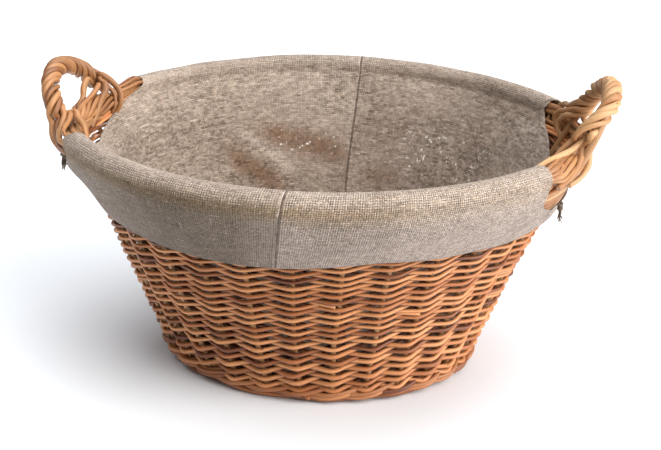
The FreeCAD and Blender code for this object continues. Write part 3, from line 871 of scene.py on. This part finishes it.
        # rods laid slantwise on the wall below the border, between the cuff and the handle
        for q in range(5):
            k = np.linspace(0, 1, 16)
            y_w = -98.0 + 5.0 * q + (58.0 - 3.0 * q) * k
            z_w = 207.5 - 4.6 * q + 13.0 * k + 0.8 * np.sin(4 * k + q)
            T = np.arcsin(y_w / 207.0)
            rope.add(wall(T, z_w, 1.0 + 4.2 * np.sin(pi * np.clip(k * 1.1, 0, 1)) ** 0.6), 2.45 - 0.05 * q, 10, rough=0.03)
    rope.make(
        f"handle_{name}_roping", m_handle, "basket",
        f"handle_{name}_rope", f"handle_{name}_rod_ends", slot="willow_handle",
    )


# ------------------------------------------------------------------ the hessian liner
LZ0 = 16.6
CG, CT = 0.8, 1.2
RC = 10.3 + CT / 2
HEM_Z = 163.0
prof = [(*half(z, -WALL_T - CG - CT / 2), z) for z in (LZ0, 60.0, 120.0, 190.0, 222.0)]
prof += [
    (BORDER_A + RC * math.cos(math.radians(d)), BORDER_B + RC * math.cos(math.radians(d)), BORDER_Z + RC * math.sin(math.radians(d)))
    for d in range(195, -31, -5)
]
ha, hb = half(HEM_Z, CG + CT / 2)
prof += [(ha, hb, HEM_Z)]
prof = np.array([[float(x) for x in p] for p in prof])
ps = np.concatenate([[0], np.cumsum(np.hypot(np.diff((prof[:, 0] + prof[:, 1]) / 2), np.diff(prof[:, 2])))])
S_ALL = ps[-1]
i_top = int(np.argmax(prof[:, 2]))
S_TOP = ps[i_top]


def s_inner(z):
    return np.interp(z, prof[: i_top + 1, 2], ps[: i_top + 1])


def s_outer(z):
    return np.interp(-np.asarray(z, float), -prof[i_top:, 2], ps[i_top:])


NOTCH = {
    "left": dict(
        inner=[(-111, 240.4), (-108, 237), (-100, 231), (-84, 221), (-60, 211), (-28, 206), (5, 211), (35, 217), (60, 222), (82, 229), (97, 235), (100, 240.4)],
        outer=[(-111, 240.4), (-107, 237), (-102, 231), (-97, 221), (-88, 206), (-76, 194), (-58, 187), (0, 186), (56, 187), (78, 197), (90, 213), (97, 230), (100, 240.4)],
    ),
    "right": dict(
        inner=[(-102, 240.4), (-98, 234), (-88, 223), (-60, 208), (-20, 200), (20, 197), (52, 198), (67, 203), (84, 211), (101, 219), (111, 226), (114, 234), (114.5, 240.4)],
        outer=[(-102, 240.4), (-101.5, 222), (-97, 207), (-86, 196), (-66, 188), (0, 186), (56, 187), (80, 197), (98, 213), (110, 230), (114.5, 240.4)],
    ),
}

# painted shade in folds of the liner's inside; a strength below nought paints a highlight on a fold ridge
SHADES = [  # side, place along the rim, height, half-width, half-height, slope, strength (below nought: a pale ridge)
    (-1, 306, 157, 58, 12.5, -0.19, 1.0),
    (-1, 240, 130, 36, 12.5, -0.50, 1.0),
    (-1, 262, 147, 40, 5.5, -0.62, -0.8),
    (1, 320, 128, 26, 9, -0.1, 0.6),
    (1, 160, 222, 60, 5, 0.0, 0.2),
]


def liner_panel(name, side):
    r = np.random.default_rng(300 + side)
    nd = NOTCH[name]
    NT = 320
    tl = np.linspace(-pi / 2, pi / 2, NT + 1)
    yc = (BORDER_B + 0.0) * np.sin(tl)
    n_in, n_gap, n_out = 84, 8, 34
    y0, y1 = nd["inner"][0][0], nd["inner"][-1][0]
    hole = (yc > y0) & (yc < y1)
    zi = np.interp(yc, *zip(*nd["inner"]))
    zo = np.interp(yc, *zip(*nd["outer"]))
    si, so = s_inner(zi), s_outer(zo)
    far = np.maximum(y0 - yc, yc - y1)
    g = 0.8 + 9.0 * smooth(far / 35.0)
    si = np.where(hole, np.minimum(si, S_TOP - 0.8), S_TOP - g)
    so = np.where(hole, np.maximum(so, S_TOP + 0.8), S_TOP + g)
    ang_deg = np.degrees(tl if side > 0 else pi - tl)
    ang_deg = (ang_deg + 180) % 360 - 180
    # the hem rises towards the right
    lift = np.interp(ang_deg, [-180, -125, -98, -90, -79, -68, -56, -44, -25, 0, 60, 180], [2, 0, 0, 1.5, 5, 8.5, 7, 7.5, 6, 4, 3, 2])
    s_end = S_ALL - lift / 0.93
    rows = []
    for k in range(n_in + 1):
        rows.append(si * k / n_in)
    for k in range(1, n_gap + 1):
        rows.append(si + (so - si) * k / n_gap)
    for k in range(1, n_out + 1):
        rows.append(so + (s_end - so) * k / n_out)
    S = np.array(rows)  # rows x columns
    T = np.broadcast_to(tl, S.shape)
    A = np.interp(S, ps, prof[:, 0])
    B = np.interp(S, ps, prof[:, 1])
    Z = np.interp(S, ps, prof[:, 2])
    # outward normal of the profile, in the (radius, height) plane
    d = 1.5
    dr = np.interp(S + d, ps, (prof[:, 0] + prof[:, 1]) / 2) - np.interp(S - d, ps, (prof[:, 0] + prof[:, 1]) / 2)
    dz = np.interp(S + d, ps, prof[:, 2]) - np.interp(S - d, ps, prof[:, 2])
    ln = np.hypot(dr, dz)
    nr, nz = -dz / ln, dr / ln  # away from the wicker: inward inside, up at the crest, outward outside
    nr, nz = nr, nz
    arc = T * 232.0
    # --- folds: only away from the wicker
    inside = smooth((S_TOP - 12 - S) / 30.0)
    outside = smooth((S - S_TOP - 14) / 20.0)
    depth = S / S_TOP
    fold = np.zeros_like(S)
    for q in range(9):
        c0 = r.uniform(-1.45, 1.45) * 232
        w = r.uniform(14, 34)
        a = r.uniform(0.8, 3.2)
        sk = r.uniform(-0.35, 0.35)
        mid = r.uniform(0.35, 0.85)
        fold += a * np.exp(-(((arc - c0 - sk * (S - 120)) / w) ** 2)) * np.exp(-(((depth - mid) / 0.28) ** 2))
    base_in = 1.7 * smooth(S / 12.0) + 1.0 * np.sin(pi * np.clip(depth, 0, 1))
    low = 0.9 * (1 + wobble(r, 7, 2 * pi * 232, arc)) * np.sin(pi * np.clip(depth * 1.1, 0, 1))
    inn = (fold + base_in + np.maximum(low, 0)) * inside
    v = np.clip((S - S_TOP - 14) / (s_end - S_TOP - 14), 0, 1)
    belly = np.sin(pi * v) ** 0.9
    lump = 1.0 + 0.55 * wobble(r, 9, 2 * pi * 250, arc + 14 * v) + 0.25 * wobble(r, 23, 2 * pi * 250, arc - 10 * v)
    out = (2.6 * np.maximum(lump, 0.1)) * belly + 1.5 * smooth(v / 0.6)
    if side < 0:
        away = (np.degrees(T) + 28.0) / 9.0
        out = out + 4.5 * np.exp(-(away**2) - ((S - S_TOP - 40) / 13.0) ** 2)
    near_hole = smooth((yc - y0 + 4.0) / 14.0) * smooth((y1 + 4.0 - yc) / 14.0)
    out = out * (1 - 0.85 * near_hole * (1 - smooth((S - so - 3.0) / 20.0)))
    hem = 0.5 * wobble(r, 17, 2 * pi * 250, arc) * smooth((v - 0.7) / 0.3)
    crest = (0.45 + 0.3 * wobble(r, 31, 2 * pi * 250, arc)).clip(0.0) * np.exp(-(((S - S_TOP) / 14.0) ** 2))
    disp = inn + out * outside + np.maximum(hem, 0) + crest
    ang = T if side > 0 else pi - T
    # the front seam slants: its top stands to the right, its lower end to the left
    from_front = (np.degrees(ang) + 90.0 + 180.0) % 360.0 - 180.0
    slant = np.interp(S, [S_TOP - 60, S_TOP, S_ALL], [2.0, 8.5, -4.5]) / 232.0
    ang = ang + slant * np.exp(-((from_front / 26.0) ** 2))
    base = place(A, B, Z, ang)
    z = base[..., 2] + disp * nz
    # the hem hangs a little lower towards the front left
    tf = np.degrees(ang)
    tf = (tf + 180) % 360 - 180
    sag = 3.0 * np.exp(-(((tf + 104) / 24.0) ** 2)) * v**2
    z = z - sag
    x = base[..., 0] + side * disp * nr * np.cos(T)
    y = base[..., 1] + disp * nr * np.sin(T)
    verts = np.stack([x, y, z], -1).reshape(-1, 3)
    nr_, nc_ = S.shape
    ii, jj = np.meshgrid(np.arange(nr_ - 1), np.arange(nc_ - 1), indexing="ij")
    keep = np.ones(ii.shape, bool)
    gap = (ii >= n_in) & (ii < n_in + n_gap)
    both = hole[:-1] & hole[1:]
    keep[gap & both[jj]] = False
    ii, jj = ii[keep], jj[keep]
    q = np.stack([ii * nc_ + jj, ii * nc_ + jj + 1, (ii + 1) * nc_ + jj + 1, (ii + 1) * nc_ + jj], -1)
    if side < 0:
        q = q[:, ::-1]
    used = np.unique(q)
    remap = np.full(len(verts), -1)
    remap[used] = np.arange(len(used))
    U = arc * side
    at = np.stack([U * MM, S * MM, np.full_like(U, 0.0 if side > 0 else 5.0)], -1).reshape(-1, 3)
    # painted shade where the cloth sinks towards the wicker in folds, a painted highlight on a fold ridge, and painted
    # flecks of light through the weave
    brown = np.zeros_like(S)
    glint = np.zeros_like(S)
    zin = np.where(S < S_TOP, Z, 400.0)
    for sd, c0, z0, w0, h0, slope, amt in SHADES:
        if sd == side:
            d = (arc - c0) / w0
            e = np.clip((zin - z0 - slope * (arc - c0)) / h0, -9, 9)
            brown += amt * np.exp(-(d**4) - e**2)
    if side > 0:
        glint = np.exp(-(((arc - 238) / 75.0) ** 4) - (((zin - 158) / 24.0) ** 4))
    else:
        glint = 0.9 * np.exp(-(((arc - 312) / 52.0) ** 4) - (((zin - 158) / 11.0) ** 4))
    inside_shade_glint = np.stack([smooth((S_TOP - S) / 20.0), np.clip(brown, -1, 1), glint], -1).reshape(-1, 3)
    over = S - S_TOP
    tf2 = np.broadcast_to(ang_deg, S.shape)
    to_left = smooth((-52.0 - tf2) / 40.0) * (tf2 < -20)
    band = np.exp(-(((over - 21) / 8.0) ** 2)) * (0.35 + 0.65 * to_left)
    cool = smooth((over - 30) / 10.0)
    # painted-in shade: the left cuff is made darker, most of all beside the front seam, and the right cuff a little
    # beside it
    dusk = smooth((over - 9) / 12.0) * (0.97 if side < 0 else 0.22 * np.exp(-(((tf2 + 90) / 22.0) ** 2)))
    if side < 0:
        dusk = dusk * (0.10 + 0.90 * np.exp(-(((tf2 + 112) / 30.0) ** 2))) * (tf2 < 0)
    # painted-in shade: inside, the left end is made greyer
    dusk = dusk + (0.34 * smooth((np.abs(tf2) - 95.0) / 40.0) * smooth((S_TOP - 6 - S) / 14.0) if side < 0 else 0.0)
    # and so is the lower cuff beside the front seam
    dusk = dusk + 0.20 * np.exp(-(((tf2 + 104) / 12.0) ** 2)) * smooth((over - 18) / 14.0) * (side < 0)
    # painted shade: the right panel's lower cuff beside the front seam is made darker too
    dusk = dusk + 0.14 * np.exp(-(((tf2 + 78) / 14.0) ** 2)) * smooth((over - 14) / 14.0) * (side > 0)
    dusk = np.clip(dusk, 0, 1)
    tone = np.stack([band, cool, dusk + 0 * S], -1).reshape(-1, 3)
    ob = make_mesh(f"liner_{name}", verts[used], [remap[q]], m_cloth, {"cloth": at[used], "inside_shade_glint": inside_shade_glint[used], "tone": tone[used]})
    sol = ob.modifiers.new("thickness", "SOLIDIFY")
    sol.thickness = CT * MM
    sol.offset = 0.0
    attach(ob, "lining")
    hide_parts(f"lining_panel_{name}")
    me = ob.data
    co = np.zeros(len(me.vertices) * 3, np.float32)
    me.vertices.foreach_get("co", co)
    return ob


for name, side in (("left", -1), ("right", 1)):
    liner_panel(name, side)

# ---- the liner's oval bottom
la, lb = half(LZ0, -WALL_T - 1.0 - CG)
NR, NA = 46, 220
rr = np.linspace(0.0, 1.0, NR)[1:]
aa = np.arange(NA) * 2 * pi / NA
Rg, Ag = np.meshgrid(rr, aa, indexing="ij")
r = np.random.default_rng(5)
zz = LZ0 - CT / 2 + 0.5 * (1 - Rg**6) * (1 + 0.6 * wobble(r, 5, 2 * pi, Ag) * Rg)
xx, yy = la * Rg * np.cos(Ag), lb * Rg * np.sin(Ag)
verts = np.vstack([[[0, 0, LZ0 - 0.1]], np.stack([xx - 0.0, yy, zz], -1).reshape(-1, 3)])
ii, jj = np.meshgrid(np.arange(NR - 2), np.arange(NA), indexing="ij")
j2 = (jj + 1) % NA
q = np.stack([1 + ii * NA + jj, 1 + (ii + 1) * NA + jj, 1 + (ii + 1) * NA + j2, 1 + ii * NA + j2], -1).reshape(-1, 4)
k = np.arange(NA)
tri = np.stack([np.zeros(NA, int), 1 + k, 1 + (k + 1) % NA], -1)
ob = make_mesh(
    "liner_bottom", verts, [q, tri], m_cloth,
    {
        "cloth": np.stack([verts[:, 0] * MM, verts[:, 1] * MM, np.full(len(verts), 9.0)], -1),
        "inside_shade_glint": np.tile([0.6, 0.0, 0.0], (len(verts), 1)),
        "tone": np.zeros((len(verts), 3)),
    },
)
sol = ob.modifiers.new("thickness", "SOLIDIFY")
sol.thickness = CT * MM
sol.offset = 0.0
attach(ob, "lining")
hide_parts("lining_base")

# ---- tie knots
for name, side in (("left", -1), ("right", 1)):
    kn = Rods(71 if side < 0 else 72)
    ky, kz = (-90.0, 215.0) if side < 0 else (-60.0, 191.0)
    a, b = half(kz, 11.0)
    kx = float(a) * math.sqrt(1 - (ky / float(b)) ** 2)
    c = np.array([side * kx, ky, kz])
    w = np.linspace(0, 2 * pi, 60)
    # a small overhand knot
    kx_, ky_, kz_ = (np.sin(w) + 2 * np.sin(2 * w)), (np.cos(w) - 2 * np.cos(2 * w)), -np.sin(3 * w)
    kn.add(c + np.stack([side * kz_ * 1.4, kx_ * 1.05, ky_ * 1.15], -1), 1.35, 10)
    for q in range(16):
        a0 = kn.rng.uniform(-0.5, 0.5)
        ln = kn.rng.uniform(8, 13)
        lean_y = (-0.35 if q % 2 else 0.3) + 0.25 * a0
        p0 = c + [side * kn.rng.uniform(-0.5, 1.0), kn.rng.uniform(-2, 2), -3]
        pts = [p0, p0 + [side * kn.rng.uniform(-1, 1), ln * 0.5 * lean_y, -ln * 0.5], p0 + [side * kn.rng.uniform(-2.5, 2.5), ln * lean_y + kn.rng.uniform(-1.5, 1.5), -ln]]
        kn.add(catmull(pts, 2.0), np.linspace(0.5, 0.3, len(catmull(pts, 2.0))), 6)
    ob = kn.make(f"tie_{name}_knot", m_tie, "lining", f"tie_{name}", slot="tie_cord")
    at = ob.data.attributes.new("cloth", "FLOAT_VECTOR", "POINT")
    co = np.zeros(len(ob.data.vertices) * 3, np.float32)
    ob.data.attributes["rod_co"].data.foreach_get("vector", co)
    at.data.foreach_set("vector", co)

# ------------------------------------------------------------------ floor and light
t = Tree("floor")
t.put(t.bsdf.inputs["Base Color"], (0.92, 0.945, 0.985, 1))
t.bsdf.inputs["Roughness"].default_value = 0.7
t.bsdf.inputs["Specular IOR Level"].default_value = 0.2
bpy.ops.mesh.primitive_plane_add(size=160.0, location=(0, 0, -0.0005))
floor = bpy.context.active_object
floor.name = "floor"
floor.data.materials.append(t.mat)

W_BASE, W_RIGHT, W_TOP, W_LEFT = 0.03, 0.05, 0.05, 0.0
world = bpy.data.worlds.new("studio")
scene.world = world
world.use_nodes = True
nt = world.node_tree
bg = nt.nodes["Background"]
tc = nt.nodes.new("ShaderNodeTexCoord")


def wmath(op, *xs):
    n = nt.nodes.new("ShaderNodeMath")
    n.operation = op
    for i, x in enumerate(xs):
        if isinstance(x, bpy.types.NodeSocket):
            nt.links.new(x, n.inputs[i])
        else:
            n.inputs[i].default_value = x
    return n.outputs[0]


def toward(az, el):
    """How far a direction points to that part of the room, 0 to 1."""
    n = nt.nodes.new("ShaderNodeVectorMath")
    n.operation = "DOT_PRODUCT"
    nt.links.new(tc.outputs["Generated"], n.inputs[0])
    a, e = math.radians(az), math.radians(el)
    n.inputs[1].default_value = (math.sin(a) * math.cos(e), -math.cos(a) * math.cos(e), math.sin(e))
    return wmath("MAXIMUM", n.outputs["Value"], 0.0)


glow = wmath("MULTIPLY_ADD", wmath("POWER", toward(92, 15), 1.5), W_RIGHT, W_BASE)
glow = wmath("MULTIPLY_ADD", toward(0, 90), W_TOP, glow)
glow = wmath("MULTIPLY_ADD", wmath("POWER", toward(-95, 5), 2.0), W_LEFT, glow)
nt.links.new(glow, bg.inputs["Strength"])
bg.inputs["Color"].default_value = (0.96, 0.98, 1.0, 1)


def sun(name, az, el, strength, angle, color=(1, 1, 1)):
    """A soft light from az degrees (0 front, 90 right) and el degrees above the floor."""
    d = bpy.data.lights.new(name, "SUN")
    d.energy, d.angle, d.color = strength, math.radians(angle), color
    o = bpy.data.objects.new(name, d)
    a, e = math.radians(az), math.radians(el)
    v = Vector((math.sin(a) * math.cos(e), -math.cos(a) * math.cos(e), math.sin(e)))
    o.rotation_euler = v.to_track_quat("Z", "Y").to_euler()
    scene.collection.objects.link(o)


sun("right high", 62, 38, 2.0, 45, (1.0, 0.985, 0.95))
sun("right low", 80, 15, 2.6, 45, (1.0, 0.975, 0.94))
sun("top", 0, 88, 1.98, 60, (0.97, 0.99, 1.0))
sun("behind", 170, 50, 0.95, 50, (0.99, 0.995, 1.0))
sun("front left", -50, 50, 0.38, 50, (0.97, 0.985, 1.0))
